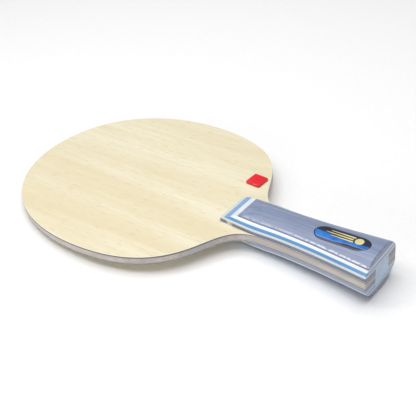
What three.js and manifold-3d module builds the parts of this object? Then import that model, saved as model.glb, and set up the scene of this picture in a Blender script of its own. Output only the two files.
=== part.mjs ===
// A bare table tennis paddle: a seven-ply blade with a flared handle, before its rubber sheets are glued on.
// Lengths are millimetres. The drawing frame has X across the blade, Y from the butt to the tip with zero at
// the front edge of the handle scales, and Z out of the forehand face with zero at the blade's middle plane.
// The exported group shifts it, so that the origin lies under the middle of the paddle, at its lowest point.
import * as THREE from "three";
import { mergeVertices } from "three/addons/utils/BufferGeometryUtils.js";
import Module from "manifold-3d";

// Head
const HEAD_LENGTH = 157; // from the front edge of the handle scales to the tip
const HEAD_WIDTH = 150;
const WIDEST_Y = 69.4; // where the head is widest
const TIP_ROUNDNESS = 45.6; // length of the outline's tangent at the tip
const UPPER_ROUNDNESS = 49.5; // the same at the widest point, towards the tip
const LOWER_ROUNDNESS = 47.3; // and towards the handle
const SHOULDER = new THREE.Vector2(40.3, -1.6); // where the outline turns from bulging to hollow
const SHOULDER_SLOPE = THREE.MathUtils.degToRad(26.9);
const SHOULDER_OUTER = 17.9;
const SHOULDER_INNER = 16.1;
const NECK_Y = -31; // where the hollow runs into the handle's side
const NECK_ROUNDNESS = 19.7;
const OUTLINE_STEPS = [16, 16, 12]; // segments on the tip, side and neck curves
const HANDLE_SIDE_STEPS = 14;

// Plies of one half of the blade, from the outside to the core, and the core that both halves share
const FACE_PLY = 0.6;
const FIBRE_LAYER = 0.2;
const INNER_PLY = 0.75;
const CORE_PLY = 2.7;
const BLADE_HALF = CORE_PLY / 2 + INNER_PLY + FIBRE_LAYER + FACE_PLY;

// Handle: half widths along its length, [y, half width]
const HANDLE_LENGTH = 100;
const HALF_WIDTHS = [
  [0, 12.2],
  [-12, 13.1],
  [-25, 13.7],
  [-42, 13.2],
  [-62, 13.8],
  [-80, 15.2],
  [-100, 17.15],
];
const END_EASE = 0.7; // the butt's edges are eased by this much
const SIDE_SAMPLES = 200; // points taken from the smooth curve through the half widths

// Laminae of one handle scale, from the blade outwards; the slab on top takes the crown
const BASE_LAMINA = 2.2;
const CREAM_VENEER = 1.25;
const BLUE_VENEER = 1.45;
const WHITE_VENEER = 1.25;
const CROWN_FRONT = 11.5; // height of the crown above the middle plane at the front and waist
const CROWN_RISE = 1.7; // how much higher it is at the butt
const CROWN_RISE_FROM = -20; // where along the handle the rise begins
const CROWN_RISE_POWER = 1.6;
const SIDE_TOP = BLADE_HALF + BASE_LAMINA; // the sides stand straight up to here
const SECTION_ACROSS_POWER = 2.8; // the crown's section is a superellipse with these two powers
const SECTION_UP_POWER = 1.3;
const SECTION_STEPS = 9; // segments from the side to the crown
const LENGTH_STEPS = 22;
const FRONT_RUN = 27; // length of the ramp at the front of a scale
const FRONT_POWER = 1.7;
const FRONT_LIP = 0.12; // the ramp starts this much above the straight side
const FRONT_CLEAR = 0.01; // and ends this much above the crown, so the two surfaces don't meet in slivers
const FRONT_STEPS = 8;

// Oval badge in the forehand slab: straight sides between two elliptical ends
const BADGE_X = -0.9;
const BADGE_Y = -76.6;
const BADGE_LENGTH = 34.2;
const BADGE_WIDTH = 11.4;
const BADGE_END = 7; // length of each elliptical end
const BADGE_DEPTH_Z = 10.2; // the recess's floor
const BADGE_GAP = 0.3; // glue gap round the plate
const BADGE_POINTS = 40;
const ENAMEL = 0.2; // thickness of the coloured enamel on the plate
const BAND_EDGES = [
  [18, -4.1, 0.9],
  [9, -4.5, 0.5],
  [3, -4.5, -0.6],
  [-5, -3.6, -0.8],
  [-18, -3.7, -0.3],
]; // along the badge from its middle, and the band's two edges across it
const BAND_SAMPLES = 12;
const BAND_END_INSET = 0.35;
const BALL_RADIUS = 2.6;
const BALL_X = 0.5;
const BALL_Y = BADGE_Y - 9.9;
const BALL_POINTS = 20;
const STREAK_WIDTH = 1.1;
const STREAKS = [
  ["upper", 2.4, -7, 8.6],
  ["middle", 0.5, -6.4, 10.9],
  ["lower", -1.4, -7, 7],
]; // name, x, and the two ends along the badge from its middle

// Square marker tile on the forehand face, and its adhesive pad
const MARKER_SIZE = 10.4;
const MARKER_AT = new THREE.Vector2(32.3, 4.1);
const MARKER_TURN = THREE.MathUtils.degToRad(-3);
const MARKER_THICKNESS = 1.7;
const MARKER_BEVEL = 0.3;
const MARKER_CORNER = 0.7;
const PAD_INSET = 0.35;
const PAD_THICKNESS = 0.2;

// Label on the butt's end face
const LABEL_WIDTH = 14.8;
const LABEL_HEIGHT = 12.2;
const LABEL_AT = new THREE.Vector2(0.6, -1); // across and up
const LABEL_CORNER = 1;
const LABEL_THICKNESS = 0.15;
const CORNER_SEGMENTS = 4;

const MARGIN = 5; // how far a cutting block reaches past what it cuts
const MERGE_WITHIN = 1e-4; // vertices nearer than this are one

const COLOURS = {
  face: { color: 0xf0e8cc, roughness: 0.62, metalness: 0 },
  fibre: { color: 0x6f7376, roughness: 0.5, metalness: 0.1 },
  inner: { color: 0xcdbfa9, roughness: 0.7, metalness: 0 },
  core: { color: 0xbcb3a6, roughness: 0.75, metalness: 0 },
  base: { color: 0x8795b2, roughness: 0.4, metalness: 0 },
  cream: { color: 0xefe7cd, roughness: 0.4, metalness: 0 },
  blue: { color: 0x5b96dc, roughness: 0.35, metalness: 0 },
  white: { color: 0xf4f4ef, roughness: 0.35, metalness: 0 },
  slab: { color: 0x97a4c0, roughness: 0.35, metalness: 0 },
  badge: { color: 0x3a3d4a, roughness: 0.3, metalness: 0.3 },
  band: { color: 0x3c7de1, roughness: 0.25, metalness: 0 },
  emblem: { color: 0xe6d782, roughness: 0.3, metalness: 0.1 },
  marker: { color: 0xf23c4b, roughness: 0.25, metalness: 0 },
  pad: { color: 0xd9d5cc, roughness: 0.8, metalness: 0 },
  label: { color: 0xb9cde6, roughness: 0.45, metalness: 0 },
};

const wasm = await Module();
wasm.setup();

function solidOf(geometry) {
  const bare = geometry.clone();
  bare.deleteAttribute("normal");
  bare.deleteAttribute("uv");
  const merged = mergeVertices(bare, MERGE_WITHIN);
  return new wasm.Manifold(
    new wasm.Mesh({
      numProp: 3,
      vertProperties: merged.attributes.position.array,
      triVerts: new Uint32Array(merged.index.array),
    }),
  );
}

function geometryOf(solid) {
  const mesh = solid.getMesh();
  const geometry = new THREE.BufferGeometry();
  geometry.setAttribute("position", new THREE.BufferAttribute(mesh.vertProperties, 3));
  geometry.setIndex(new THREE.BufferAttribute(mesh.triVerts, 1));
  geometry.computeVertexNormals();
  return geometry;
}

function piece(name, geometry, look) {
  const mesh = new THREE.Mesh(geometry, new THREE.MeshStandardMaterial(COLOURS[look]));
  mesh.name = name;
  return mesh;
}

// Half width of the handle at y, on a smooth curve through the stations.
const sideCurve = new THREE.SplineCurve(
  HALF_WIDTHS.map(([y, width]) => new THREE.Vector2(y, width)),
);
const sidePoints = sideCurve.getPoints(SIDE_SAMPLES);
function halfWidthAt(y) {
  const clamped = THREE.MathUtils.clamp(y, -HANDLE_LENGTH, 0);
  const next = sidePoints.findIndex((point, i) => i > 0 && point.x <= clamped);
  const from = sidePoints[next - 1];
  const to = sidePoints[next];
  const share = (from.x - clamped) / (from.x - to.x);
  return THREE.MathUtils.lerp(from.y, to.y, share);
}

// Height of the crown above the middle plane at y, the same on both sides of the blade.
function crownAt(y) {
  const share = THREE.MathUtils.clamp(
    (CROWN_RISE_FROM - y) / (CROWN_RISE_FROM + HANDLE_LENGTH),
    0,
    1,
  );
  return CROWN_FRONT + CROWN_RISE * share ** CROWN_RISE_POWER;
}

// Right half of the blade's outline, from the tip to the butt.
function halfOutline() {
  const tip = new THREE.Vector2(0, HEAD_LENGTH);
  const widest = new THREE.Vector2(HEAD_WIDTH / 2, WIDEST_Y);
  const inward = new THREE.Vector2(-Math.cos(SHOULDER_SLOPE), -Math.sin(SHOULDER_SLOPE));
  const neck = new THREE.Vector2(halfWidthAt(NECK_Y), NECK_Y);
  const curves = [
    new THREE.CubicBezierCurve(
      tip,
      new THREE.Vector2(TIP_ROUNDNESS, HEAD_LENGTH),
      new THREE.Vector2(widest.x, WIDEST_Y + UPPER_ROUNDNESS),
      widest,
    ),
    new THREE.CubicBezierCurve(
      widest,
      new THREE.Vector2(widest.x, WIDEST_Y - LOWER_ROUNDNESS),
      SHOULDER.clone().addScaledVector(inward, -SHOULDER_OUTER),
      SHOULDER,
    ),
    new THREE.CubicBezierCurve(
      SHOULDER,
      SHOULDER.clone().addScaledVector(inward, SHOULDER_INNER),
      new THREE.Vector2(neck.x, NECK_Y + NECK_ROUNDNESS),
      neck,
    ),
  ];
  const points = curves.flatMap((curve, i) => curve.getPoints(OUTLINE_STEPS[i]).slice(0, -1));
  const easedEnd = -HANDLE_LENGTH + END_EASE;
  for (let i = 0; i <= HANDLE_SIDE_STEPS; i++) {
    const y = THREE.MathUtils.lerp(NECK_Y, easedEnd, i / HANDLE_SIDE_STEPS);
    points.push(new THREE.Vector2(halfWidthAt(y), y));
  }
  points.push(new THREE.Vector2(halfWidthAt(-HANDLE_LENGTH) - END_EASE, -HANDLE_LENGTH));
  return points;
}

const bladeShape = (() => {
  const right = halfOutline();
  const left = right
    .slice(1)
    .reverse()
    .map((point) => new THREE.Vector2(-point.x, point.y));
  return new THREE.Shape([...right, ...left]);
})();

// One ply of the blade between two heights.
function ply(name, low, high, look) {
  const geometry = new THREE.ExtrudeGeometry(bladeShape, {
    depth: high - low,
    bevelEnabled: false,
  });
  const heights = geometry.attributes.position;
  for (let i = 0; i < heights.count; i++) {
    heights.setZ(i, heights.getZ(i) > 0 ? high : low);
  }
  return piece(name, geometry, look);
}

// Outline of a handle scale's section: across in half widths, up from -1 at the blade to 0 where the
// straight side ends and 1 at the crown.
function sectionShape() {
  const right = [new THREE.Vector2(1, -1)];
  for (let i = 0; i <= SECTION_STEPS; i++) {
    const turn = (i / SECTION_STEPS) * (Math.PI / 2);
    const across = i < SECTION_STEPS ? Math.cos(turn) ** (2 / SECTION_ACROSS_POWER) : 0;
    const up = Math.sin(turn) ** (2 / SECTION_UP_POWER);
    right.push(new THREE.Vector2(across, up));
  }
  const left = right
    .slice(0, -1)
    .reverse()
    .map((point) => new THREE.Vector2(-point.x, point.y));
  return new THREE.Shape([...right, ...left]);
}

// The whole of one scale before it is divided into laminae, raised by lift.
function scaleBlank(lift) {
  const geometry = new THREE.ExtrudeGeometry(sectionShape(), {
    depth: 1,
    steps: LENGTH_STEPS,
    bevelEnabled: false,
  });
  const bottom = BLADE_HALF - MARGIN;
  const vertices = geometry.attributes.position;
  for (let i = 0; i < vertices.count; i++) {
    const step = Math.round(vertices.getZ(i) * LENGTH_STEPS);
    const eased = step === LENGTH_STEPS ? END_EASE : 0;
    let y = (-HANDLE_LENGTH * step) / LENGTH_STEPS;
    if (step === LENGTH_STEPS - 1) y = END_EASE - HANDLE_LENGTH;
    const up = vertices.getY(i);
    const end = up < 0 ? bottom : crownAt(y) - eased;
    const z = THREE.MathUtils.lerp(SIDE_TOP, end, Math.abs(up));
    vertices.setXYZ(i, vertices.getX(i) * (halfWidthAt(y) - eased), y, z + lift);
  }
  return solidOf(geometry).intersect(frontRamp(lift));
}

// The space under the ramp at a scale's front: its side view, pushed right across the handle.
function frontRamp(lift) {
  const rampTop = CROWN_FRONT + MARGIN;
  const start = SIDE_TOP + FRONT_LIP;
  const side = [new THREE.Vector2(-HANDLE_LENGTH - MARGIN, 0), new THREE.Vector2(0, 0)];
  for (let i = 0; i <= FRONT_STEPS; i++) {
    const y = (-FRONT_RUN * i) / FRONT_STEPS;
    const climbed = 1 - (1 + y / FRONT_RUN) ** FRONT_POWER;
    const height = THREE.MathUtils.lerp(start, CROWN_FRONT + FRONT_CLEAR, climbed);
    side.push(new THREE.Vector2(y, height + lift));
  }
  side.push(new THREE.Vector2(-FRONT_RUN, rampTop));
  side.push(new THREE.Vector2(-HANDLE_LENGTH - MARGIN, rampTop));
  const width = HEAD_WIDTH / 2;
  const geometry = new THREE.ExtrudeGeometry(new THREE.Shape(side), {
    depth: width,
    bevelEnabled: false,
  });
  const vertices = geometry.attributes.position;
  for (let i = 0; i < vertices.count; i++) {
    vertices.setXYZ(i, vertices.getZ(i) - width / 2, vertices.getX(i), vertices.getY(i));
  }
  return solidOf(geometry);
}

// A block round the handle between two heights, to cut one lamina with.
function layer(low, high) {
  const geometry = new THREE.BoxGeometry(HEAD_WIDTH, HANDLE_LENGTH + 2 * MARGIN, 1);
  const vertices = geometry.attributes.position;
  for (let i = 0; i < vertices.count; i++) {
    vertices.setY(i, vertices.getY(i) - HANDLE_LENGTH / 2);
    vertices.setZ(i, vertices.getZ(i) > 0 ? high : low);
  }
  return solidOf(geometry);
}

// A prism over an outline in the blade's plane.
function prism(points, low, high) {
  const geometry = new THREE.ExtrudeGeometry(new THREE.Shape(points), {
    depth: 1,
    bevelEnabled: false,
  });
  const vertices = geometry.attributes.position;
  for (let i = 0; i < vertices.count; i++) vertices.setZ(i, vertices.getZ(i) > 0 ? high : low);
  return solidOf(geometry);
}

// The badge's outline, grown by grow.
function ovalPoints(grow) {
  const points = [];
  for (const end of [1, -1]) {
    for (let i = 0; i <= BADGE_POINTS / 2; i++) {
      const turn = ((2 * i) / BADGE_POINTS) * Math.PI;
      const across = end * Math.cos(turn) * (BADGE_WIDTH / 2 + grow);
      const along = BADGE_LENGTH / 2 - BADGE_END + Math.sin(turn) * (BADGE_END + grow);
      points.push(new THREE.Vector2(BADGE_X + across, BADGE_Y + end * along));
    }
  }
  return points;
}

// The blue band's outline: up its left edge and down its right one.
function bandPoints() {
  const edge = (column) => {
    const stations = BAND_EDGES.map(
      (row) => new THREE.Vector2(BADGE_X + row[column], BADGE_Y + row[0]),
    );
    return new THREE.SplineCurve(stations).getPoints(BAND_SAMPLES);
  };
  return [...edge(1), ...edge(2).reverse()];
}

function rectanglePoints(width, height, centre) {
  const corners = [
    [-1, -1],
    [1, -1],
    [1, 1],
    [-1, 1],
  ];
  return corners.map(([across, up]) =>
    new THREE.Vector2((across * width) / 2, (up * height) / 2).add(centre),
  );
}

// A rectangle with round corners, centred on the origin.
function roundedShape(width, height, corner) {
  const x = width / 2 - corner;
  const y = height / 2 - corner;
  const shape = new THREE.Shape();
  shape.absarc(x, y, corner, 0, Math.PI / 2);
  shape.absarc(-x, y, corner, Math.PI / 2, Math.PI);
  shape.absarc(-x, -y, corner, Math.PI, 1.5 * Math.PI);
  shape.absarc(x, -y, corner, 1.5 * Math.PI, 2 * Math.PI);
  return shape;
}

// The five laminae of a scale, glued face to face on the blade. The forehand slab has the badge's recess.
function scalePieces(side, recess) {
  const blank = scaleBlank(0);
  const laminae = [
    ["base_lamina", BASE_LAMINA, "base"],
    ["cream_veneer", CREAM_VENEER, "cream"],
    ["blue_veneer", BLUE_VENEER, "blue"],
    ["white_veneer", WHITE_VENEER, "white"],
    ["top_slab", CROWN_FRONT + CROWN_RISE, "slab"],
  ];
  let low = BLADE_HALF;
  return laminae.map(([name, thickness, look]) => {
    const high = low + thickness;
    let solid = blank.intersect(layer(low, high));
    if (look === "slab" && recess) solid = solid.subtract(recess);
    low = high;
    return piece(`${side}_${name}`, geometryOf(solid), look);
  });
}

// The badge's plate is sanded flush with the crown, and its enamel stands on it.
function badgePieces() {
  const flush = scaleBlank(0);
  const raised = scaleBlank(ENAMEL);
  const top = CROWN_FRONT + CROWN_RISE + MARGIN;
  const plate = prism(ovalPoints(0), BADGE_DEPTH_Z, top).intersect(flush);
  const skin = (points) => prism(points, BADGE_DEPTH_Z, top).intersect(raised).subtract(flush);
  const inside = prism(ovalPoints(-BAND_END_INSET), BADGE_DEPTH_Z, top);
  const ball = new THREE.EllipseCurve(BALL_X, BALL_Y, BALL_RADIUS, BALL_RADIUS);
  const emblem = [["badge_ball", ball.getPoints(BALL_POINTS).slice(1)]];
  for (const [name, x, from, to] of STREAKS) {
    const centre = new THREE.Vector2(x, BADGE_Y + (from + to) / 2);
    emblem.push([`badge_streak_${name}`, rectanglePoints(STREAK_WIDTH, to - from, centre)]);
  }
  let blue = skin(bandPoints()).intersect(inside);
  for (const [, points] of emblem) blue = blue.subtract(prism(points, BADGE_DEPTH_Z, top));
  return [
    piece("badge_plate", geometryOf(plate), "badge"),
    piece("badge_blue_band", geometryOf(blue), "band"),
    ...emblem.map(([name, points]) => piece(name, geometryOf(skin(points)), "emblem")),
  ];
}

function markerPieces() {
  const padSize = MARKER_SIZE - 2 * PAD_INSET;
  const pad = new THREE.ExtrudeGeometry(roundedShape(padSize, padSize, MARKER_CORNER), {
    depth: PAD_THICKNESS,
    curveSegments: CORNER_SEGMENTS,
    bevelEnabled: false,
  });
  const tile = new THREE.ExtrudeGeometry(
    roundedShape(MARKER_SIZE - 2 * MARKER_BEVEL, MARKER_SIZE - 2 * MARKER_BEVEL, MARKER_CORNER),
    {
      depth: MARKER_THICKNESS - 2 * MARKER_BEVEL,
      curveSegments: CORNER_SEGMENTS,
      bevelThickness: MARKER_BEVEL,
      bevelSize: MARKER_BEVEL,
      bevelSegments: 2,
    },
  );
  tile.translate(0, 0, PAD_THICKNESS + MARKER_BEVEL);
  const marker = new THREE.Group();
  marker.add(piece("marker_adhesive_pad", pad, "pad"), piece("marker_tile", tile, "marker"));
  marker.position.set(MARKER_AT.x, MARKER_AT.y, BLADE_HALF);
  marker.rotation.z = MARKER_TURN;
  return marker;
}

function buttLabel() {
  const geometry = new THREE.ExtrudeGeometry(
    roundedShape(LABEL_WIDTH, LABEL_HEIGHT, LABEL_CORNER),
    { depth: LABEL_THICKNESS, curveSegments: CORNER_SEGMENTS, bevelEnabled: false },
  );
  const vertices = geometry.attributes.position;
  for (let i = 0; i < vertices.count; i++) {
    const x = vertices.getX(i) + LABEL_AT.x;
    const z = vertices.getY(i) + LABEL_AT.y;
    vertices.setXYZ(i, x, -HANDLE_LENGTH - vertices.getZ(i), z);
  }
  return piece("butt_label", geometry, "label");
}

// The plies and the scale of one side of the paddle, drawn as the forehand side.
function half(side, recess) {
  const group = new THREE.Group();
  let low = CORE_PLY / 2;
  for (const [name, thickness, look] of [
    ["inner_ply", INNER_PLY, "inner"],
    ["fibre_layer", FIBRE_LAYER, "fibre"],
    ["face_ply", FACE_PLY, "face"],
  ]) {
    group.add(ply(`${side}_${name}`, low, low + thickness, look));
    low += thickness;
  }
  group.add(...scalePieces(side, recess));
  return group;
}

const recess = prism(ovalPoints(BADGE_GAP), BADGE_DEPTH_Z, CROWN_FRONT + CROWN_RISE + MARGIN);
const forehand = half("forehand", recess);
forehand.add(...badgePieces(), markerPieces());

const backhand = half("backhand", null);
backhand.rotation.y = Math.PI;

const paddle = new THREE.Group();
paddle.add(ply("core_ply", -CORE_PLY / 2, CORE_PLY / 2, "core"), forehand, backhand, buttLabel());
paddle.position.set(
  0,
  (HANDLE_LENGTH + LABEL_THICKNESS - HEAD_LENGTH) / 2,
  crownAt(END_EASE - HANDLE_LENGTH),
);

export default paddle;
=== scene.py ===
"""Looks of a bare table tennis paddle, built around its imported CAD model.

Lengths are millimetres in the drawing frame: X across the blade, Y from the butt to the tip with zero at
the front edge of the handle scales, Z out of the forehand face with zero at the blade's middle plane.
place() turns a point of it into metres in the frame of the CAD model.
"""

import math

import bmesh
import bpy
import numpy as np
from mathutils import Matrix, Vector


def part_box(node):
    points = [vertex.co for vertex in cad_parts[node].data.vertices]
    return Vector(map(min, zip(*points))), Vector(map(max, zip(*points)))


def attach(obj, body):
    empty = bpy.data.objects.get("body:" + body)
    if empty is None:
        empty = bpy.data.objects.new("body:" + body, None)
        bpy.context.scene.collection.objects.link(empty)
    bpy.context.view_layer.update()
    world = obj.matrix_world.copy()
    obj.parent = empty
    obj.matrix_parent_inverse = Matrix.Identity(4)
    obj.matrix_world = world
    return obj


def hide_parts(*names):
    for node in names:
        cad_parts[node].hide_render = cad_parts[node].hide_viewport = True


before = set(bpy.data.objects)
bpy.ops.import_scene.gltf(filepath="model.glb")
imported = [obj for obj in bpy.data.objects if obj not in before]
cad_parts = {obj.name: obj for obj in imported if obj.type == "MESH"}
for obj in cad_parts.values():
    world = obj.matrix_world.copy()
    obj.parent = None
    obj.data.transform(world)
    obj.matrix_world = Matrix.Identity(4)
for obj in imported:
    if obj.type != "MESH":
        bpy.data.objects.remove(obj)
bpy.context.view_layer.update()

MM = 0.001
BODY = "root"
SHARP_ANGLE = math.radians(32)

# Blade
HEAD_LENGTH = 157.0
HEAD_WIDTH = 150.0
WIDEST_Y = 69.4
TIP_ROUNDNESS = 45.6
UPPER_ROUNDNESS = 49.5
LOWER_ROUNDNESS = 47.3
SHOULDER = np.array([40.3, -1.6])  # where the outline turns from round to hollow
SHOULDER_SLOPE = math.radians(26.9)
SHOULDER_OUTER = 17.9
SHOULDER_INNER = 16.1
NECK_Y = -31.0
NECK_ROUNDNESS = 19.7
CORE_TOP = 1.35
INNER_TOP = 2.1
FIBRE_TOP = 2.3
BLADE_HALF = 2.9

# Handle
HANDLE_LENGTH = 100.0
HALF_WIDTHS = [(0, 12.2), (-12, 13.1), (-25, 13.7), (-42, 13.2), (-62, 13.8), (-80, 15.2), (-100, 17.15)]
SIDE_TOP = 5.1
CREAM_TOP = 6.35
BLUE_TOP = 7.8
WHITE_TOP = 9.05
CROWN_FRONT = 11.5
CROWN_RISE = 1.7
CROWN_RISE_FROM = -20.0
CROWN_RISE_POWER = 1.6
ACROSS_POWER = 2.8  # powers of a scale's section, a superellipse on a straight foot
UP_POWER = 1.3
FRONT_RUN = 27.0  # length of the ramp at a scale's front
FRONT_POWER = 1.7
FRONT_LIP = 0.12  # the ramp starts this far above the foot
FRONT_CLEAR = 0.01
END_ROUND = 0.9  # radius sanded on the butt's edges
END_BULGE = 0.3  # how far the butt's end face is crowned
BULGE_DEPTH = 8.0  # over this much of the handle's length
BULGE_HALF_WIDTH = 17.5
BULGE_HALF_HEIGHT = 13.0
GROOVE = 0.03  # the glue lines show as fine grooves
FIBRE_RECESS = 0.05
RIM_ROUND = 0.38  # radius on the face plies' outer edges
CORNER = 0.5  # radius sanded on a scale's front corners

# Badge, marker and label
BADGE_X = -0.9
BADGE_Y = -76.6
BADGE_LENGTH = 34.2
BADGE_WIDTH = 11.4
BADGE_END = 7.0  # length of each elliptical end
BADGE_FLOOR = 10.2
BAND_EDGES = [(18, -4.1, 0.9), (9, -4.5, 0.5), (3, -4.5, -0.6), (-5, -3.6, -0.8), (-18, -3.7, -0.3)]
BALL = (0.5, BADGE_Y - 9.9)
BALL_RADIUS = 2.6
STREAK_WIDTH = 1.1
STREAK_TAIL = 0.3  # width at the tail, as a share of the width at the front
STREAKS = (("upper", 2.4, -7, 8.6), ("middle", 0.5, -6.4, 10.9), ("lower", -1.4, -7, 7))  # X, front, tail
BADGE_GAP = 0.22
PLATE_LIFT = 0.02
PLATE_ROUND = 0.35
PLATE_DEPTH = 1.5
BAND_INSET = 0.35  # the band stays this far inside the badge's rim
BAND_END_INSET = 0.45
BAND_LEAST_WIDTH = 0.02
BAND_LIFT = 0.12
BAND_ROUND = 0.15
EMBLEM_LIFT = 0.2
BALL_ROUND = 0.2
BALL_DOME = 0.06
STREAK_SECTION = ((0.05, 0.2), (0.5, 0.2), (0.75, 0.19), (0.9, 0.16), (1.0, 0.08))  # share, lift
STREAK_END_ROUND = 0.06  # share of its length over which a streak's ends round off
SKIN_DROP = 0.15  # a rounded edge ends at most this far below the slab
ENAMEL_DEPTH = 0.05  # the enamel reaches this far into the surface under it
MARKER_AT = (32.3, 4.1)
MARKER_SIZE = 10.4
MARKER_TURN = math.radians(-3)
PAD_INSET = 0.37
PAD_EDGE = 0.05
PAD_CORNER = 0.7
TILE_LOW = 0.2  # also the pad's thickness
TILE_HIGH = 1.86
TILE_CORNER = 0.95
TILE_FOOT_ROUND = 0.15
TILE_ROUND = 0.45
TILE_CROWN = 0.06
LABEL_AT = (0.6, -1.0)
LABEL_SIZE = (14.8, 12.2)
LABEL_CORNER = 1.0
LABEL_SECTION = ((-0.05, 0), (0.1, 0), (0.14, 0.03), (0.15, 0.1), (0.15, 1.5), (0.15, 4))  # lift, inset

# How finely curves are stepped
SPLINE_STEPS = 400
ACROSS_STEPS = 12  # from the middle of the butt to its side
FRONT_STEPS = 16  # from the middle of a scale's front to its side
ALONG_STEPS = 90  # along a scale's side
STREAK_STEPS = 12
BAND_ROWS = 60
BAND_COLUMNS = 11

# The forehand face ply's upper corner says where the drawing's zero is.
_, face_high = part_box("forehand_face_ply")
Y_SHIFT = face_high.y / MM - HEAD_LENGTH
Z_SHIFT = face_high.z / MM - BLADE_HALF


def place(point):
    x, y, z = point
    return Vector((x * MM, (y + Y_SHIFT) * MM, (z + Z_SHIFT) * MM))


# ---------------------------------------------------------------- shapes


def spline_samples(stations):
    """Points of the smooth curve through the stations."""
    p = [np.array(s, float) for s in stations]
    out = []
    for k in range(SPLINE_STEPS + 1):
        f = (len(p) - 1) * k / SPLINE_STEPS
        i = min(int(f), len(p) - 2)
        t = f - i
        a, b, c, d = p[max(i - 1, 0)], p[i], p[i + 1], p[min(i + 2, len(p) - 1)]
        v0, v1 = (c - a) / 2, (d - b) / 2
        out.append((2 * b - 2 * c + v0 + v1) * t**3 + (-3 * b + 3 * c - 2 * v0 - v1) * t**2 + v0 * t + b)
    return np.array(out)


SIDE = spline_samples(HALF_WIDTHS)


def end_ease(y):
    """How far the surface has drawn in near the butt, by its sanded edge."""
    d = np.clip(y + HANDLE_LENGTH, 0, END_ROUND)
    return END_ROUND - math.sqrt(max(END_ROUND**2 - (END_ROUND - d) ** 2, 0))


def half_width(y):
    return float(np.interp(-y, -SIDE[:, 0], SIDE[:, 1])) - end_ease(y)


def crown(y):
    share = np.clip((CROWN_RISE_FROM - y) / (CROWN_RISE_FROM + HANDLE_LENGTH), 0, 1)
    return CROWN_FRONT + CROWN_RISE * share**CROWN_RISE_POWER - end_ease(y)


def width_at(y, z):
    """Half width of a scale at a height above the middle plane."""
    t = np.clip((z - SIDE_TOP) / (crown(y) - SIDE_TOP), 0, 1)
    return half_width(y) * (1 - t**UP_POWER) ** (1 / ACROSS_POWER)


def slab_height(x, y):
    """Height of the handle's outer surface over a point of the blade's plane."""
    t = max(1 - min(abs(x) / half_width(y), 1) ** ACROSS_POWER, 0) ** (1 / UP_POWER)
    return SIDE_TOP + (crown(y) - SIDE_TOP) * t


def ramp_height(y):
    climbed = 1 - max(1 + y / FRONT_RUN, 0) ** FRONT_POWER
    start = SIDE_TOP + FRONT_LIP
    return start + (CROWN_FRONT + FRONT_CLEAR - start) * climbed


def front_of(height_at):
    """Where the front ramp reaches the surface whose height is height_at(y)."""
    low, high = -FRONT_RUN, 0.0
    if ramp_height(high) >= height_at(high):
        return 0.0
    for _ in range(40):
        middle = (low + high) / 2
        if ramp_height(middle) >= height_at(middle):
            low = middle
        else:
            high = middle
    return low


def bulged(point):
    """The butt's end face is crowned slightly."""
    x, y, z = point
    near = np.clip((-HANDLE_LENGTH + BULGE_DEPTH - y) / BULGE_DEPTH, 0, 1) ** 2
    spread = max(1 - (x / BULGE_HALF_WIDTH) ** 2, 0) * max(1 - (z / BULGE_HALF_HEIGHT) ** 2, 0)
    return (x, y - END_BULGE * near * spread, z)


def side_stations(start, count):
    """Positions along the handle from start to the butt, closer together on the sanded edge."""
    straight = np.linspace(start, -HANDLE_LENGTH + END_ROUND, count)
    turns = np.linspace(0, math.pi / 2, 9)[1:]
    return [*straight, *(-HANDLE_LENGTH + END_ROUND * (1 - np.sin(turns)))]


def bezier(a, b, c, d, count):
    t = np.linspace(0, 1, count, endpoint=False)[:, None]
    a, b, c, d = (np.array(p, float) for p in (a, b, c, d))
    return a * (1 - t) ** 3 + 3 * b * t * (1 - t) ** 2 + 3 * c * t**2 * (1 - t) + d * t**3


def blade_outline():
    """The blade's outline, once round from the tip."""
    tip, widest = np.array([0, HEAD_LENGTH]), np.array([HEAD_WIDTH / 2, WIDEST_Y])
    inward = np.array([-math.cos(SHOULDER_SLOPE), -math.sin(SHOULDER_SLOPE)])
    neck = np.array([half_width(NECK_Y), NECK_Y])
    right = [
        *bezier(tip, tip + (TIP_ROUNDNESS, 0), widest + (0, UPPER_ROUNDNESS), widest, 70),
        *bezier(widest, widest - (0, LOWER_ROUNDNESS), SHOULDER - inward * SHOULDER_OUTER, SHOULDER, 70),
        *bezier(SHOULDER, SHOULDER + inward * SHOULDER_INNER, neck + (0, NECK_ROUNDNESS), neck, 50),
        *[np.array([half_width(y), y]) for y in side_stations(NECK_Y, 50)],
    ]
    end = half_width(-HANDLE_LENGTH)
    shares = np.linspace(1, 0, ACROSS_STEPS + 1)[1:]
    right += [np.array([end * share, -HANDLE_LENGTH]) for share in shares]
    left = [np.array([-p[0], p[1]]) for p in right[1:-1]][::-1]
    return np.array(right + left)


def inset(outline, depth):
    """The outline drawn in by depth, square to itself."""
    after, before = np.roll(outline, -1, 0), np.roll(outline, 1, 0)
    along = after - before
    along /= np.linalg.norm(along, axis=1)[:, None]
    inward = np.stack([along[:, 1], -along[:, 0]], 1)  # the outline runs clockwise
    return outline + inward * depth


def make_object(name, vertices, faces, material):
    mesh = bpy.data.meshes.new(name)
    mesh.from_pydata([place(v) for v in vertices], [], faces)
    work = bmesh.new()
    work.from_mesh(mesh)
    bmesh.ops.remove_doubles(work, verts=work.verts, dist=0.002 * MM)
    bmesh.ops.dissolve_degenerate(work, edges=work.edges, dist=0.001 * MM)
    bmesh.ops.recalc_face_normals(work, faces=work.faces)
    work.to_mesh(mesh)
    work.free()
    shade(mesh)
    made = bpy.data.objects.new(name, mesh)
    bpy.context.scene.collection.objects.link(made)
    mesh.materials.append(material)
    return made


def shade(mesh):
    """Smooth shading, with sharp edges where the faces turn far."""
    mesh.polygons.foreach_set("use_smooth", [True] * len(mesh.polygons))
    mesh.set_sharp_from_angle(angle=SHARP_ANGLE)


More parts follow.
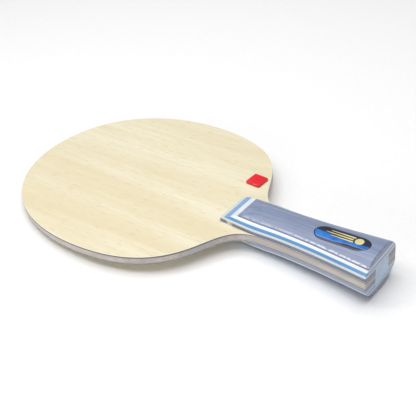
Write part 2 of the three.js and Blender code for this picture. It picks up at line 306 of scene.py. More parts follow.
def loft(loops):
    """Vertices and faces of closed loops joined in turn, with a cap at each end."""
    count = len(loops[0])
    vertices = [tuple(p) for loop in loops for p in loop]
    faces = []
    for j in range(len(loops) - 1):
        a, b = j * count, (j + 1) * count
        for i in range(count):
            k = (i + 1) % count
            faces.append((a + i, a + k, b + k, b + i))
    faces.append(tuple(range(count)))
    faces.append(tuple(reversed(range((len(loops) - 1) * count, len(loops) * count))))
    return vertices, faces


def finish_piece(piece, node, slot):
    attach(piece, BODY)
    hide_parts(node)


# ---------------------------------------------------------------- materials

# Sockets of the Mix node that hold colours
COLOUR_A = 6
COLOUR_B = 7
MIXED_COLOUR = 2


class Shader:
    """A node material under construction."""

    def __init__(self, name):
        self.material = bpy.data.materials.new(name)
        self.material.use_nodes = True
        self.tree = self.material.node_tree
        self.bsdf = self.tree.nodes["Principled BSDF"]
        texture = self.node("ShaderNodeTexCoord")
        self.coords = texture.outputs["Object"]
        self.at = self.node("ShaderNodeSeparateXYZ")
        self.link(self.coords, self.at.inputs[0])
        self.facing = self.node("ShaderNodeSeparateXYZ")
        self.link(texture.outputs["Normal"], self.facing.inputs[0])

    def node(self, kind, **values):
        made = self.tree.nodes.new(kind)
        for key, value in values.items():
            setattr(made, key, value)
        return made

    def link(self, source, target):
        self.tree.links.new(source, target)

    def put(self, value, socket):
        if hasattr(value, "is_linked"):
            self.link(value, socket)
        else:
            socket.default_value = value

    def math(self, operation, a, b=0.0):
        made = self.node("ShaderNodeMath", operation=operation)
        self.put(a, made.inputs[0])
        self.put(b, made.inputs[1])
        return made.outputs[0]

    def stretch(self, scale, source=None, offset=(0, 0, 0)):
        """Coordinates times a scale for each axis, in cells a metre."""
        made = self.node("ShaderNodeMapping")
        self.link(source or self.coords, made.inputs["Vector"])
        made.inputs["Scale"].default_value = scale
        made.inputs["Location"].default_value = offset
        return made.outputs["Vector"]

    def noise(self, vector, detail=3.0, roughness=0.5, distortion=0.0):
        made = self.node("ShaderNodeTexNoise")
        self.link(vector, made.inputs["Vector"])
        made.inputs["Scale"].default_value = 1.0
        made.inputs["Detail"].default_value = detail
        made.inputs["Roughness"].default_value = roughness
        made.inputs["Distortion"].default_value = distortion
        return made.outputs["Fac"]

    def band(self, value, low, high, to_low=0.0, to_high=1.0):
        """value between low and high, spread smoothly over the new range."""
        made = self.node("ShaderNodeMapRange", interpolation_type="SMOOTHSTEP")
        self.put(value, made.inputs["Value"])
        made.inputs["From Min"].default_value = low
        made.inputs["From Max"].default_value = high
        made.inputs["To Min"].default_value = to_low
        made.inputs["To Max"].default_value = to_high
        return made.outputs["Result"]

    def faces(self, axis, low, high):
        """1 where the surface looks along the axis either way, 0 where it looks well away from it."""
        return self.band(self.math("ABSOLUTE", self.facing.outputs[axis]), low, high)

    def height(self):
        """Height above the blade's middle plane, in millimetres."""
        return self.math("MULTIPLY", self.math("SUBTRACT", self.at.outputs["Z"], Z_SHIFT * MM), 1 / MM)

    def along(self):
        """Place along the paddle in the drawing frame, in millimetres."""
        return self.math("MULTIPLY", self.math("SUBTRACT", self.at.outputs["Y"], Y_SHIFT * MM), 1 / MM)

    def between(self, value, start, full, fading, end):
        """1 from full to fading, falling smoothly to 0 at start and end."""
        return self.times(self.band(value, start, full), self.band(value, fading, end, 1.0, 0.0))

    def on_head(self):
        """1 on the head, falling to 0 along the front of the handle."""
        return self.band(self.along(), -22, -8)

    def times(self, first, *others):
        for other in others:
            first = self.math("MULTIPLY", first, other)
        return first

    def rest(self, share):
        """What is left of 1."""
        return self.math("SUBTRACT", 1.0, share)

    def mix(self, share, a, b):
        made = self.node("ShaderNodeMix", data_type="RGBA")
        self.put(share, made.inputs["Factor"])
        self.put(a, made.inputs[COLOUR_A])
        self.put(b, made.inputs[COLOUR_B])
        return made.outputs[MIXED_COLOUR]

    def bump(self, height, distance):
        made = self.node("ShaderNodeBump")
        made.inputs["Strength"].default_value = 1.0
        made.inputs["Distance"].default_value = distance
        self.link(height, made.inputs["Height"])
        return made.outputs["Normal"]

    def finish(self, colour, roughness, normal=None, coat=0.0, coat_roughness=0.1, specular=0.5):
        self.put(colour, self.bsdf.inputs["Base Color"])
        self.put(roughness, self.bsdf.inputs["Roughness"])
        if normal:
            self.link(normal, self.bsdf.inputs["Normal"])
            if coat:
                self.link(normal, self.bsdf.inputs["Coat Normal"])
        self.bsdf.inputs["Coat Weight"].default_value = coat
        self.bsdf.inputs["Coat Roughness"].default_value = coat_roughness
        self.bsdf.inputs["Specular IOR Level"].default_value = specular
        return self.material


def rgb(red, green, blue):
    """A colour given in display values from 0 to 255, as the shader wants it."""
    shares = [value / 255 for value in (red, green, blue)]
    linear = [share / 12.92 if share <= 0.04045 else ((share + 0.055) / 1.055) ** 2.4 for share in shares]
    return (*linear, 1.0)


# Texture scales are cells a metre, across and along the grain.
HAIR_CELLS = (2600, 60)
PORE_CELLS = 2400
SWAY_CELLS = (9, 5)
SWAY = 0.008  # metres that the grain wanders sideways


def wood(
    name,
    light,
    dark,
    fleck,
    seed=0.0,
    streak=(70, 5),
    streak_contrast=0.8,
    line=(700, 14),
    line_share=0.35,
    fleck_cells=(900, 90),
    fleck_share=0.3,
    fleck_from=0.6,
    roughness=(0.5, 0.65),
    coat=0.0,
    coat_roughness=0.12,
    relief=0.02,
    end=None,
    wear=None,
):
    """Straight-grained wood: broad streaks, fine lines and short flecks, all running along Y.

    light, dark and fleck are its colours. streak, line and fleck_cells are texture scales, and the
    shares say how strongly each shows. end is the colour of the end grain, relief the bump's height in
    millimetres, and wear a function for what is special to a piece's place, mostly painted light and
    shade.
    """
    s = Shader(name)
    offset = (seed * 3.7, seed * 1.3, seed * 7.1)

    def grain(cells, detail, rough=0.5, distortion=0.0, source=None):
        across, along = cells
        vector = s.stretch((across, along, across), source, offset)
        return s.noise(vector, detail, rough, distortion)

    aside = s.node("ShaderNodeCombineXYZ")
    sway = grain(SWAY_CELLS, 2.0)
    s.link(s.math("MULTIPLY", s.math("SUBTRACT", sway, 0.5), SWAY), aside.inputs["X"])
    wavy = s.node("ShaderNodeVectorMath", operation="ADD")
    s.link(s.coords, wavy.inputs[0])
    s.link(aside.outputs["Vector"], wavy.inputs[1])
    path = wavy.outputs["Vector"]
    broad = grain(streak, 4.0, 0.55, 0.3, source=path)
    lines = grain(line, 3.0, 0.6, source=path)
    flecks = grain(fleck_cells, 2.0, source=path)
    hairs = grain(HAIR_CELLS, 2.0, 0.6, source=path)
    spread = 0.2 / streak_contrast
    colour = s.mix(s.band(broad, 0.5 - spread, 0.5 + spread), light, dark)
    colour = s.mix(s.band(lines, 0.42, 0.68, 0.0, line_share), colour, dark)
    fleck_full = fleck_from + 0.12
    colour = s.mix(s.band(flecks, fleck_from, fleck_full, 0.0, fleck_share), colour, fleck)
    if end:
        pores = grain((PORE_CELLS, PORE_CELLS), 2.0)
        share = s.times(s.faces("Y", 0.75, 0.97), s.band(pores, 0.3, 0.7, 0.55, 0.85))
        colour = s.mix(share, colour, end)
    if wear:
        colour = wear(s, colour)
    height = s.math("ADD", s.math("MULTIPLY", lines, 0.6), s.math("MULTIPLY", hairs, 0.4))
    height = s.math("SUBTRACT", height, s.band(flecks, fleck_from, fleck_full, 0.0, 0.5))
    rough = s.band(hairs, 0.35, 0.65, *roughness)
    return s.finish(colour, rough, s.bump(height, relief * MM), coat, coat_roughness)


# Where the handle's painted shade and painted highlights go, in millimetres: start, full, fading, end
FOOT_SHADE = (BLADE_HALF - 0.5, BLADE_HALF - 0.1, BLADE_HALF + 0.25, BLADE_HALF + 0.8)
FRONT_GLINT = (-10.5, -8.0, -6.5, -4.5)
RIDGE_HIGHLIGHT = (WHITE_TOP + 0.5, WHITE_TOP + 0.7, WHITE_TOP + 1.0, WHITE_TOP + 1.35)


def face_edge(s, colour):
    """The rim's rounding is painted pale as a highlight, grey where it meets the fibre, and painted dark
    as shade along the head's lower edge.
    """
    # Painted highlight: the sloping part of the rounding is made pale, as where it catches the light.
    painted_rim_highlight = s.times(s.faces("Z", 0.3, 0.5), s.rest(s.faces("Z", 0.9, 0.98)))
    colour = s.mix(s.times(painted_rim_highlight, 0.8), colour, rgb(246, 243, 230))
    touched = s.rest(s.faces("Z", 0.15, 0.4))
    colour = s.mix(s.times(touched, 0.85), colour, rgb(120, 117, 115))
    # Painted shade: the head's lowest edge is darkened, standing in for the floor's shadow under it.
    below = s.band(s.height(), 0.4 - BLADE_HALF, 0.7 - BLADE_HALF, 1.0, 0.0)
    under = s.times(below, s.rest(s.faces("Z", 0.6, 0.9)))
    return s.mix(s.times(under, s.on_head(), 0.4), colour, rgb(58, 57, 58))


def resin_bleed(s, colour):
    """Dark resin has soaked into the forehand ply under the fibre, along the head's edge."""
    near = s.band(s.height(), INNER_TOP - 0.6, INNER_TOP - 0.1)
    side = s.rest(s.faces("Z", 0.3, 0.6))
    return s.mix(s.times(near, side, s.on_head(), 0.85), colour, rgb(50, 48, 48))


def lamina_painted_light(s, colour):
    """Painted shade along a scale's foot, painted bounce light on the backhand lamina, and a painted glint
    near the front corners.
    """
    # Painted shade: a dark band where the scale meets the blade's face.
    foot = s.between(s.height(), *FOOT_SHADE)
    colour = s.mix(s.times(foot, 0.7), colour, rgb(58, 64, 84))
    # Painted light: the backhand lamina is made paler, standing in for light bounced up from the floor.
    below = s.band(s.height(), -BLADE_HALF, 0.0, 0.4, 0.0)
    colour = s.mix(below, colour, rgb(176, 186, 208))
    # Painted highlight: a broken pale glint on the sides near the front corners.
    patch = s.times(
        s.between(s.along(), *FRONT_GLINT),
        s.band(s.height(), BLADE_HALF, BLADE_HALF + 0.3),
        s.faces("X", 0.5, 0.8),
        s.band(s.noise(s.stretch((900, 500, 900))), 0.35, 0.5, 0.4, 1.0),
    )
    return s.mix(s.times(patch, 0.75), colour, rgb(226, 231, 240))


def front_ramp_sheen(s, colour):
    """The ramp at a scale's front is painted paler, a painted sheen standing in for light reflected off
    it.
    """
    # Painted reflection: faces turned forward and up on the ramp are made paler.
    ramp = s.times(s.band(s.facing.outputs["Y"], 0.05, 0.2), s.faces("Z", 0.5, 0.8))
    return s.mix(s.times(ramp, 0.22), colour, rgb(222, 236, 255))


def slab_ridge(s, colour):
    """Painted highlight, broken up, along the slab's side ridges, with painted shade above it and a
    painted dark shade line under it.
    """
    up = s.math("ABSOLUTE", s.height())
    side = s.faces("X", 0.3, 0.5)
    # Painted shade: the side of the slab above the ridge is darkened.
    shaded = s.band(up, WHITE_TOP + 1.15, WHITE_TOP + 2.95, 0.55, 0.0)
    colour = s.mix(s.times(shaded, side), colour, rgb(112, 123, 154))
    # Painted highlight: a pale broken line along the ridge, stronger toward the butt.
    broken_up = s.band(s.noise(s.stretch((700, 420, 700)), 3.0, 0.6), 0.36, 0.5)
    toward_butt = s.band(s.along(), -85, -30, 1.0, 0.45)
    ridge_highlight = s.times(s.between(up, *RIDGE_HIGHLIGHT), side, broken_up, toward_butt)
    colour = s.mix(s.times(ridge_highlight, 0.8), colour, rgb(230, 234, 244))
    # Painted shade: a dark line on the steep strip just under the ridge highlight.
    glue = s.times(s.band(up, WHITE_TOP + 0.17, WHITE_TOP + 0.37, 1.0, 0.0), side)
    return s.mix(s.times(glue, 0.9), colour, rgb(66, 72, 102))


def veneer(name, light, dark, fleck, seed, end):
    """A thin, dyed and lacquered veneer of the handle."""
    return wood(
        name,
        light,
        dark,
        fleck,
        seed,
        streak=(200, 8),
        line=(1300, 24),
        roughness=(0.35, 0.5),
        coat=0.5,
        end=end,
        wear=front_ramp_sheen,
    )


FACE_WOOD = wood(
    "face_wood",
    rgb(239, 232, 207),
    rgb(227, 214, 178),
    rgb(206, 186, 144),
    seed=1.0,
    streak=(52, 4),
    streak_contrast=1.0,
    line=(640, 20),
    line_share=0.55,
    fleck_cells=(1250, 130),
    fleck_share=0.4,
    fleck_from=0.58,
    roughness=(0.55, 0.7),
    relief=0.03,
    wear=face_edge,
)
INNER_WOOD = wood(
    "inner_wood",
    rgb(196, 188, 183),
    rgb(172, 163, 157),
    rgb(142, 132, 126),
    seed=2.0,
    line=(900, 30),
    roughness=(0.55, 0.75),
    coat=0.1,
    end=rgb(172, 171, 177),
    wear=resin_bleed,
)
CORE_WOOD = wood(
    "core_wood",
    rgb(212, 205, 201),
    rgb(180, 172, 168),
    rgb(140, 132, 129),
    seed=3.0,
    streak=(420, 16),
    line=(1300, 30),
    line_share=0.6,
    roughness=(0.6, 0.8),
    coat=0.1,
    end=rgb(180, 177, 179),
)
GREY_BLUE = wood(
    "grey_blue_veneer",
    rgb(132, 142, 168),
    rgb(96, 107, 135),
    rgb(72, 80, 106),
    seed=4.0,
    streak=(240, 9),
    line=(1500, 22),
    line_share=0.5,
    roughness=(0.35, 0.5),
    coat=0.5,
    end=rgb(128, 142, 170),
    wear=lamina_painted_light,
)
CREAM = veneer(
    "cream_veneer",
    rgb(228, 230, 227),
    rgb(208, 209, 206),
    rgb(184, 184, 181),
    seed=5.0,
    end=rgb(178, 190, 204),
)
BLUE = veneer(
    "blue_veneer",
    rgb(112, 168, 216),
    rgb(86, 144, 200),
    rgb(62, 116, 176),
    seed=6.0,
    end=rgb(132, 160, 200),
)
WHITE = veneer(
    "white_veneer",
    rgb(244, 245, 244),
    rgb(228, 231, 233),
    rgb(204, 208, 212),
    seed=7.0,
    end=rgb(186, 198, 210),
)
SLAB = wood(
    "slab_wood",
    rgb(156, 167, 193),
    rgb(124, 136, 166),
    rgb(94, 104, 136),
    seed=8.0,
    streak=(420, 9),
    streak_contrast=0.7,
    line=(1000, 13),
    line_share=0.75,
    fleck_cells=(1500, 100),
    fleck_share=0.45,
    roughness=(0.35, 0.5),
    coat=0.2,
    coat_roughness=0.14,
    relief=0.035,
    wear=slab_ridge,
)


def fibre_material():
    """Resin-bound weave, seen edge on: a dark line with paler bundle ends, lacquered along the handle."""
    s = Shader("fibre")
    ends = s.noise(s.stretch((2200, 2200, 4000)), 1.0)
    weave = s.noise(s.stretch((600, 600, 600)), 2.0)
    colour = s.mix(s.band(ends, 0.45, 0.6), rgb(22, 23, 26), rgb(54, 56, 60))
    colour = s.mix(s.band(weave, 0.4, 0.7, 0.0, 0.5), colour, rgb(36, 38, 42))
    colour = s.mix(s.times(s.rest(s.on_head()), 0.5), colour, rgb(122, 122, 126))
    return s.finish(colour, s.band(ends, 0.3, 0.7, 0.35, 0.6), s.bump(ends, 0.02 * MM))


def plastic(
    name, colour, shade, roughness, relief=0.01, cells=1400, coat=0.0, wear=None, sides=None
):
    """Moulded plastic or enamel: slight mottling, orange peel and fine scuffs, and steep faces painted
    darker as shade when sides is given.
    """
    s = Shader(name)
    mottle = s.noise(s.stretch((160, 160, 160)), 3.0)
    peel = s.noise(s.stretch((cells, cells, cells)), 2.0)
    scuffs = s.noise(s.stretch((2600, 260, 2600)), 3.0, 0.7)
    tone = s.mix(s.band(mottle, 0.35, 0.65), colour, shade)
    if wear:
        tone = s.mix(s.band(scuffs, 0.6, 0.72, 0.0, 0.35), tone, wear)
    # Painted shade: steep faces take the darker sides colour.
    if sides:
        tone = s.mix(s.rest(s.faces("Z", 0.3, 0.85)), tone, sides)
    rough = s.math("ADD", s.band(scuffs, 0.5, 0.75, 0.0, 0.18), roughness)
    return s.finish(tone, rough, s.bump(peel, relief * MM), coat, 0.06)


FIBRE = fibre_material()
BADGE_DARK = plastic(
    "badge_dark", rgb(52, 54, 68), rgb(42, 44, 58), 0.28, coat=0.4, wear=rgb(92, 94, 104)
)
BADGE_BLUE = plastic("badge_blue", rgb(56, 128, 212), rgb(40, 106, 192), 0.25, coat=0.4)
BADGE_YELLOW = plastic("badge_yellow", rgb(236, 226, 172), rgb(222, 208, 146), 0.3, coat=0.3)
MARKER_RED = plastic(
    "marker_red",
    rgb(246, 42, 56),
    rgb(234, 30, 44),
    0.24,
    relief=0.02,
    cells=500,
    coat=0.5,
    # Painted shade on the tile's steep sides.
    sides=rgb(196, 20, 28),
)
MARKER_PAD = plastic("marker_pad", rgb(214, 210, 202), rgb(196, 192, 184), 0.8, relief=0.05, cells=3000)
LABEL_BLUE = plastic(
    "label_blue",
    rgb(196, 214, 236),
    rgb(184, 203, 228),
    0.4,
    relief=0.02,
    cells=700,
    wear=rgb(214, 226, 240),
)

# ---------------------------------------------------------------- blade


def ply(node, material, slot, rim):
    """One ply. rim is its edge's profile, a list of (height, inset)."""
    outline = blade_outline()
    loops = []
    for z, depth in rim:
        ring = inset(outline, depth)
        loops.append([bulged((x, y, z)) for x, y in ring])
    finish_piece(make_object(f"{node}_looks", *loft(loops), material), node, slot)


def plain_rim(low, high):
    return [(low, GROOVE), (low + GROOVE, 0.0), (high - GROOVE, 0.0), (high, GROOVE)]


def rounded_rim(low, high):
    turns = np.linspace(0, math.pi / 2, 6)
    middle = high - RIM_ROUND
    rounded = [(middle + RIM_ROUND * math.sin(a), RIM_ROUND * (1 - math.cos(a))) for a in turns]
    return [(low, GROOVE), (low + GROOVE, 0.0), *rounded]


PLIES = (
    ("inner_ply", INNER_WOOD, "inner_wood", plain_rim(CORE_TOP, INNER_TOP)),
    ("fibre_layer", FIBRE, "fibre", [(INNER_TOP, FIBRE_RECESS), (FIBRE_TOP, FIBRE_RECESS)]),
    ("face_ply", FACE_WOOD, "face_wood", rounded_rim(FIBRE_TOP, BLADE_HALF)),
)
ply("core_ply", CORE_WOOD, "core_wood", plain_rim(-CORE_TOP, CORE_TOP))
for side, sign in (("forehand", 1), ("backhand", -1)):
    for layer, material, slot, rim in PLIES:
        ply(f"{side}_{layer}", material, slot, [(sign * z, depth) for z, depth in rim])

# ---------------------------------------------------------------- handle


def scale_loop(height_at, width_of):
    """One closed loop round a scale, where its surface is at height_at(y) and width_of(y) wide."""
    front = front_of(height_at)
    corner = min(CORNER, width_of(front) / 2)
    right = [(x, front) for x in np.linspace(0, width_of(front) - corner, FRONT_STEPS)]
    for a in np.linspace(0, math.pi / 2, 6)[1:]:
        y = front - corner * (1 - math.cos(a))
        right.append((width_of(y) - corner * (1 - math.sin(a)), y))
    right += [(width_of(y), y) for y in side_stations(front - corner, ALONG_STEPS)[1:]]
    end = width_of(-HANDLE_LENGTH)
    right += [(end * share, -HANDLE_LENGTH) for share in np.linspace(1, 0, ACROSS_STEPS + 1)[1:]]
    points = right + [(-x, y) for x, y in right[1:-1]][::-1]
    return [bulged((x, y, height_at(y))) for x, y in points]


def flat_loops(low, high):
    """Loops of a veneer between two heights; its own edges are drawn in a hair at the glue lines."""
    heights = [low, *np.linspace(low + GROOVE, high - GROOVE, 4), high]
    loops = []
    for k, z in enumerate(heights):
        depth = GROOVE if k in (0, len(heights) - 1) else 0.0
        loops.append(scale_loop(lambda y, z=z: z, lambda y, z=z, depth=depth: width_at(y, z) - depth))
    return loops


def slab_loops():
    """Loops of the top slab, from its lower edge up to the line of its crown."""

    def surface(share):
        def turn_at(y):
            t = np.clip((WHITE_TOP - SIDE_TOP) / (crown(y) - SIDE_TOP), 0, 1)
            start = math.asin(t ** (UP_POWER / 2))
            return start + (math.pi / 2 - start) * share

        def height_at(y):
            return SIDE_TOP + (crown(y) - SIDE_TOP) * math.sin(turn_at(y)) ** (2 / UP_POWER)

        def width_of(y):
            return half_width(y) * max(math.cos(turn_at(y)), 0) ** (2 / ACROSS_POWER)

        return height_at, width_of

    loops = []
    for share in [0, 0.012, *np.linspace(0.03, 1, 18)]:
        height_at, width_of = surface(share)
        depth = GROOVE if share == 0 else 0.0
        loops.append(scale_loop(height_at, lambda y, w=width_of, depth=depth: max(w(y) - depth, 0)))
    return loops


def oval(grow):
    """The badge's outline grown by grow, with points along its straight sides too."""
    straight = BADGE_LENGTH / 2 - BADGE_END
    wide = BADGE_WIDTH / 2 + grow
    points = []
    for end in (1, -1):
        for a in np.linspace(0, math.pi, 28):
            across, along = wide * math.cos(a), straight + (BADGE_END + grow) * math.sin(a)
            points.append((BADGE_X + end * across, BADGE_Y + end * along))
        for share in np.linspace(1, -1, 12)[1:-1]:
            points.append((BADGE_X - end * wide, BADGE_Y + end * straight * share))
    return points


def cut(piece, vertices, faces):
    """Takes a closed shape away from a piece."""
    cutter = make_object("cutter", vertices, faces, piece.data.materials[0])
    modifier = piece.modifiers.new("recess", "BOOLEAN")
    modifier.operation = "DIFFERENCE"
    modifier.solver = "EXACT"
    modifier.object = cutter
    bpy.context.view_layer.update()
    evaluated = piece.evaluated_get(bpy.context.evaluated_depsgraph_get())
    mesh = bpy.data.meshes.new_from_object(evaluated)
    piece.modifiers.remove(modifier)
    piece.data = mesh
    shade(mesh)
    bpy.data.objects.remove(cutter)


def badge_recess():
    """A closed shape from the recess's floor to well above the crown."""
    return loft([[(x, y, z) for x, y in oval(BADGE_GAP)] for z in (BADGE_FLOOR, CROWN_FRONT + 6)])


def scale_piece(node, sign, loops, material):
    """A piece of the forehand scale, or with sign -1 the same piece mirrored on the backhand."""
    vertices, faces = loft(loops)
    return make_object(f"{node}_looks", [(x, y, sign * z) for x, y, z in vertices], faces, material)


LAMINAE = (
    ("base_lamina", BLADE_HALF, SIDE_TOP, GREY_BLUE, "grey_blue_veneer"),
    ("cream_veneer", SIDE_TOP, CREAM_TOP, CREAM, "cream_veneer"),
    ("blue_veneer", CREAM_TOP, BLUE_TOP, BLUE, "blue_veneer"),
    ("white_veneer", BLUE_TOP, WHITE_TOP, WHITE, "white_veneer"),
)
for side, sign in (("forehand", 1), ("backhand", -1)):
    for layer, low, high, material, slot in LAMINAE:
        node = f"{side}_{layer}"
        finish_piece(scale_piece(node, sign, flat_loops(low, high), material), node, slot)
    node = f"{side}_top_slab"
    slab = scale_piece(node, sign, slab_loops(), SLAB)
    if side == "forehand":
        cut(slab, *badge_recess())
    finish_piece(slab, node, "slab_wood")

# ---------------------------------------------------------------- badge


def skin(node, slot, rings, bottom, material):
    """A thin piece that follows the slab's surface. rings run from its middle to its edge, each a list
    of (x, y, lift above the slab); the last ring is dropped to bottom below the surface."""
    loops = [[(x, y, slab_height(x, y) + lift) for x, y, lift in ring] for ring in rings]
    loops.append([(x, y, slab_height(x, y) - bottom) for x, y, _ in rings[-1]])
    finish_piece(make_object(f"{node}_looks", *loft(loops), material), node, slot)


def shrunk(points, centre, share):
    return [(centre[0] + (x - centre[0]) * share, centre[1] + (y - centre[1]) * share) for x, y in points]


def domed_rings(outline, centre, edge, lift, dome):
    """Rings of a patch over an outline: flat or slightly domed, with its edge rounded off."""
    reach = min(math.hypot(x - centre[0], y - centre[1]) for x, y in outline)
    shares = [0.02, *np.linspace(0.15, 1 - edge / reach, 8)]
    rings = [
        [(x, y, lift + dome * (1 - share**2)) for x, y in shrunk(outline, centre, share)]
        for share in shares
    ]
    last = shares[-1]
    for a in np.linspace(0, math.pi / 2, 5)[1:]:
        share = last + (1 - last) * math.sin(a)
        drop = min(edge * (1 - math.cos(a)), lift + SKIN_DROP)
        low = lift + dome * (1 - last**2) - drop
        rings.append([(x, y, low) for x, y in shrunk(outline, centre, share)])
    return rings


def streak_outline(x, front, tail):
    """A streak along Y, with a round end at the front, tapering to its tail."""
    radius = STREAK_WIDTH / 2
    shoulder = front + radius
    turns = np.linspace(0, math.pi, 10)
    points = [(x + radius * math.cos(a), shoulder - radius * math.sin(a)) for a in turns]
    shares = np.linspace(0, 1, STREAK_STEPS + 1)[1:-1]
    sides = [(radius * (1 - (1 - STREAK_TAIL) * t), shoulder + (tail - shoulder) * t) for t in shares]
    points += [(x - across, y) for across, y in sides]
    points.append((x, tail))
    points += [(x + across, y) for across, y in reversed(sides)]
    return points


def badge_plate():
    rings = domed_rings(oval(0.0), (BADGE_X, BADGE_Y), PLATE_ROUND, PLATE_LIFT, 0.0)
    skin("badge_plate", "badge_dark", rings, PLATE_DEPTH, BADGE_DARK)


def band_edges():
    """The blue band's two edges from its front end back, kept inside the badge's rim."""
    near = spline_samples([(u, low) for u, low, _ in BAND_EDGES])
    far = spline_samples([(u, high) for u, _, high in BAND_EDGES])
    straight = BADGE_LENGTH / 2 - BADGE_END

    def rim(u):
        t = max(abs(u) - straight, 0) / (BADGE_END - BAND_INSET)
        return (BADGE_WIDTH / 2 - BAND_INSET) * math.sqrt(max(1 - t * t, 0))

    reach = BADGE_LENGTH / 2 - BAND_END_INSET
    edges = []
    for u in np.linspace(reach, -reach, BAND_ROWS):
        low = max(float(np.interp(-u, -near[:, 0], near[:, 1])), -rim(u))
        high = min(float(np.interp(-u, -far[:, 0], far[:, 1])), rim(u))
        edges.append((min(low, high - BAND_LEAST_WIDTH), high, u))
    return edges


def band_piece():
    """A grid over the slab for the band's top, the same grid below it, and a wall round both."""
    vertices, faces = [], []
    for low, high, u in band_edges():
        for share in np.linspace(0, 1, BAND_COLUMNS):
            x, y = BADGE_X + low + (high - low) * share, BADGE_Y + u
            from_edge = min(share, 1 - share) * (high - low)
            lift = BAND_LIFT * min(from_edge / BAND_ROUND, 1) ** 0.5
            vertices.append((x, y, slab_height(x, y) + lift))
    under = len(vertices)
    vertices += [(x, y, slab_height(x, y) - ENAMEL_DEPTH) for x, y, _ in vertices]
    for row in range(BAND_ROWS - 1):
        for column in range(BAND_COLUMNS - 1):
            a = row * BAND_COLUMNS + column
            quad = (a, a + 1, a + BAND_COLUMNS + 1, a + BAND_COLUMNS)
            faces.append(quad)
            faces.append(tuple(under + corner for corner in reversed(quad)))
    last_row, last_column = BAND_ROWS - 1, BAND_COLUMNS - 1
    around = [row * BAND_COLUMNS for row in range(BAND_ROWS)]
    around += [last_row * BAND_COLUMNS + column for column in range(1, BAND_COLUMNS)]
    around += [row * BAND_COLUMNS + last_column for row in range(last_row - 1, -1, -1)]
    around += list(range(last_column - 1, 0, -1))
    for a, b in zip(around, around[1:] + around[:1]):
        faces.append((a, b, b + under, a + under))
    made = make_object("badge_blue_band_looks", vertices, faces, BADGE_BLUE)
    finish_piece(made, "badge_blue_band", "badge_blue")


def badge_ball():
    turns = np.linspace(0, 2 * math.pi, 40, endpoint=False)
    outline = [(BALL[0] + BALL_RADIUS * math.cos(a), BALL[1] + BALL_RADIUS * math.sin(a)) for a in turns]
    rings = domed_rings(outline, BALL, BALL_ROUND, EMBLEM_LIFT, BALL_DOME)
    skin("badge_ball", "badge_yellow", rings, ENAMEL_DEPTH, BADGE_YELLOW)


def badge_streak(name, x, front, tail):
    outline = streak_outline(x, BADGE_Y + front, BADGE_Y + tail)
    middle = BADGE_Y + (front + tail) / 2
    rings = []
    for share, lift in STREAK_SECTION:
        length = 1 - STREAK_END_ROUND * (1 - share)
        rings.append([(x + (px - x) * share, middle + (py - middle) * length, lift) for px, py in outline])
    skin(f"badge_streak_{name}", "badge_yellow", rings, ENAMEL_DEPTH, BADGE_YELLOW)


badge_plate()
band_piece()
badge_ball()
for streak in STREAKS:
    badge_streak(*streak)

# ---------------------------------------------------------------- marker and label


def rounded_rectangle(width, height, corner):
    points = []
    for quarter, (side_x, side_y) in enumerate(((1, 1), (-1, 1), (-1, -1), (1, -1))):
        centre = (side_x * (width / 2 - corner), side_y * (height / 2 - corner))
        for a in np.linspace(0, math.pi / 2, 8) + quarter * math.pi / 2:
            points.append((centre[0] + corner * math.cos(a), centre[1] + corner * math.sin(a)))
    return points


def marker_ring(size, corner, height):
    """A rounded square round the marker's centre, at a height above the blade's face."""
    c, s = math.cos(MARKER_TURN), math.sin(MARKER_TURN)
    return [
        (MARKER_AT[0] + x * c - y * s, MARKER_AT[1] + x * s + y * c, BLADE_HALF + height)
        for x, y in rounded_rectangle(size, size, corner)
    ]


def marker_pad():
    loops = []
    for height, drawn_in in ((0, PAD_EDGE), (PAD_EDGE, 0), (TILE_LOW - PAD_EDGE, 0), (TILE_LOW, PAD_EDGE)):
        loops.append(marker_ring(MARKER_SIZE - 2 * (PAD_INSET + drawn_in), PAD_CORNER, height))
    pad = make_object("marker_adhesive_pad_looks", *loft(loops), MARKER_PAD)
    finish_piece(pad, "marker_adhesive_pad", "marker_pad")


def marker_tile():
    """The tile: a slightly rounded foot, well rounded upper edges and a faint crown."""
    loops = []
    for a in np.linspace(math.pi / 2, 0, 4):
        depth = TILE_FOOT_ROUND * (1 - math.cos(a))
        height = TILE_LOW + TILE_FOOT_ROUND * (1 - math.sin(a))
        loops.append(marker_ring(MARKER_SIZE - 2 * depth, TILE_CORNER - depth, height))
    for a in np.linspace(0, math.pi / 2, 7):
        depth = TILE_ROUND * (1 - math.cos(a))
        height = TILE_HIGH - TILE_ROUND * (1 - math.sin(a))
        loops.append(marker_ring(MARKER_SIZE - 2 * depth, TILE_CORNER - 0.8 * depth, height))
    for share in (0.8, 0.5, 0.2):
        size = (MARKER_SIZE - 2 * TILE_ROUND) * share
        loops.append(marker_ring(size, 0.6 * share, TILE_HIGH + TILE_CROWN * (1 - share**2)))
    tile = make_object("marker_tile_looks", *loft(loops), MARKER_RED)
    finish_piece(tile, "marker_tile", "marker_red")


def butt_label():
    """A film on the butt's crowned end face, its edge rounded off."""
    loops = []
    for lift, inward in LABEL_SECTION:
        corner = max(LABEL_CORNER - inward, 0.3)
        loop = []
        for x, z in rounded_rectangle(LABEL_SIZE[0] - 2 * inward, LABEL_SIZE[1] - 2 * inward, corner):
            x, y, z = bulged((x + LABEL_AT[0], -HANDLE_LENGTH, z + LABEL_AT[1]))
            loop.append((x, y - lift, z))
        loops.append(loop)
    label = make_object("butt_label_looks", *loft(loops), LABEL_BLUE)
    finish_piece(label, "butt_label", "label_blue")


marker_pad()
marker_tile()
butt_label()

# ---------------------------------------------------------------- floor, light and camera

FLOOR_REACH = 3000.0
PAPER_DARK = (0.93, 0.93, 0.935, 1)
PAPER_LIGHT = (0.95, 0.95, 0.955, 1)


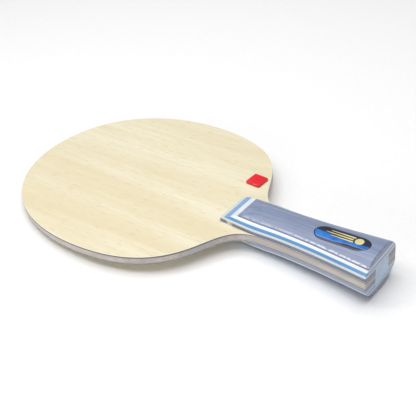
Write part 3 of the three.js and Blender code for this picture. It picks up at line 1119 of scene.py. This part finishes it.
def floor_height(y):
    """The floor touches the tip's lower edge and the handle's underside."""
    stations = np.linspace(1 - HANDLE_LENGTH, -FRONT_RUN, 300)
    slope = max((BLADE_HALF - crown(station)) / (station - HEAD_LENGTH) for station in stations)
    return slope * (y - HEAD_LENGTH) - BLADE_HALF


def floor_paper():
    s = Shader("floor_paper")
    speckle = s.noise(s.stretch((400, 400, 400)), 2.0)
    colour = s.mix(s.band(speckle, 0.3, 0.7), PAPER_DARK, PAPER_LIGHT)
    return s.finish(colour, 0.9, specular=0.1)


floor_mesh = bpy.data.meshes.new("floor")
corners = [(x * FLOOR_REACH, y * FLOOR_REACH) for x, y in ((-1, -1), (1, -1), (1, 1), (-1, 1))]
floor_mesh.from_pydata([place((x, y, floor_height(y))) for x, y in corners], [], [(0, 1, 2, 3)])
floor_mesh.materials.append(floor_paper())
floor = bpy.data.objects.new("floor", floor_mesh)
bpy.context.scene.collection.objects.link(floor)


def area_light(name, at, aim, size, power, tall=None):
    """A soft light. Lengths are metres, in the frame of the CAD model."""
    data = bpy.data.lights.new(name, "AREA")
    data.energy = power
    data.size = size
    if tall:
        data.shape = "RECTANGLE"
        data.size_y = tall
    made = bpy.data.objects.new(name, data)
    bpy.context.scene.collection.objects.link(made)
    made.location = at
    made.rotation_euler = (Vector(aim) - Vector(at)).to_track_quat("-Z", "Y").to_euler()


HANDLE_MIDDLE = Vector((0, -0.08, 0))
STRIP_DIRECTION = Vector((-0.367, 0.544, 0.754))  # seen mirrored in the slab's near ridge
STRIP_DISTANCE = 1.2
WORLD_STRENGTH = 0.16

area_light("overhead", at=(0.02, -0.03, 0.9), aim=(0, 0, 0), size=1.0, power=8.9)
area_light("left_fill", at=(-0.95, 0, 0.26), aim=(0, -0.02, 0.01), size=0.7, power=2.4, tall=0.3)
strip_at = HANDLE_MIDDLE + STRIP_DIRECTION * STRIP_DISTANCE
strip_aim = HANDLE_MIDDLE + Vector((0, 0, 0.02))
area_light("ridge_strip", at=strip_at, aim=strip_aim, size=0.2, power=2.0, tall=0.6)

world = bpy.data.worlds.new("studio")
world.use_nodes = True
background = world.node_tree.nodes["Background"]
background.inputs["Color"].default_value = (1, 1, 1, 1)
background.inputs["Strength"].default_value = WORLD_STRENGTH
bpy.context.scene.world = world
bpy.context.scene.view_settings.view_transform = "Standard"

AZIMUTH = math.radians(-47.967)
ELEVATION = math.radians(35.567)
ROLL = math.radians(-7.18)
DISTANCE = 492.21
TARGET = (-2.805, 16.864, 0.0)
SENSOR_WIDTH = 36.0
LENS = 68.935
CLIP_START = 0.01  # metres

back = Vector(
    (
        math.sin(AZIMUTH) * math.cos(ELEVATION),
        -math.cos(AZIMUTH) * math.cos(ELEVATION),
        math.sin(ELEVATION),
    )
)
right = Vector((math.cos(AZIMUTH), math.sin(AZIMUTH), 0))
up = back.cross(right)
turned_right = right * math.cos(ROLL) + up * math.sin(ROLL)
turned_up = up * math.cos(ROLL) - right * math.sin(ROLL)
turn = Matrix((turned_right, turned_up, back)).transposed().to_4x4()
camera_data = bpy.data.cameras.new("camera")
camera_data.sensor_width = SENSOR_WIDTH
camera_data.lens = LENS
camera_data.clip_start = CLIP_START
camera = bpy.data.objects.new("camera", camera_data)
bpy.context.scene.collection.objects.link(camera)
camera.matrix_world = Matrix.Translation(place(TARGET) + back * DISTANCE * MM) @ turn
bpy.context.scene.camera = camera

bpy.context.view_layer.update()
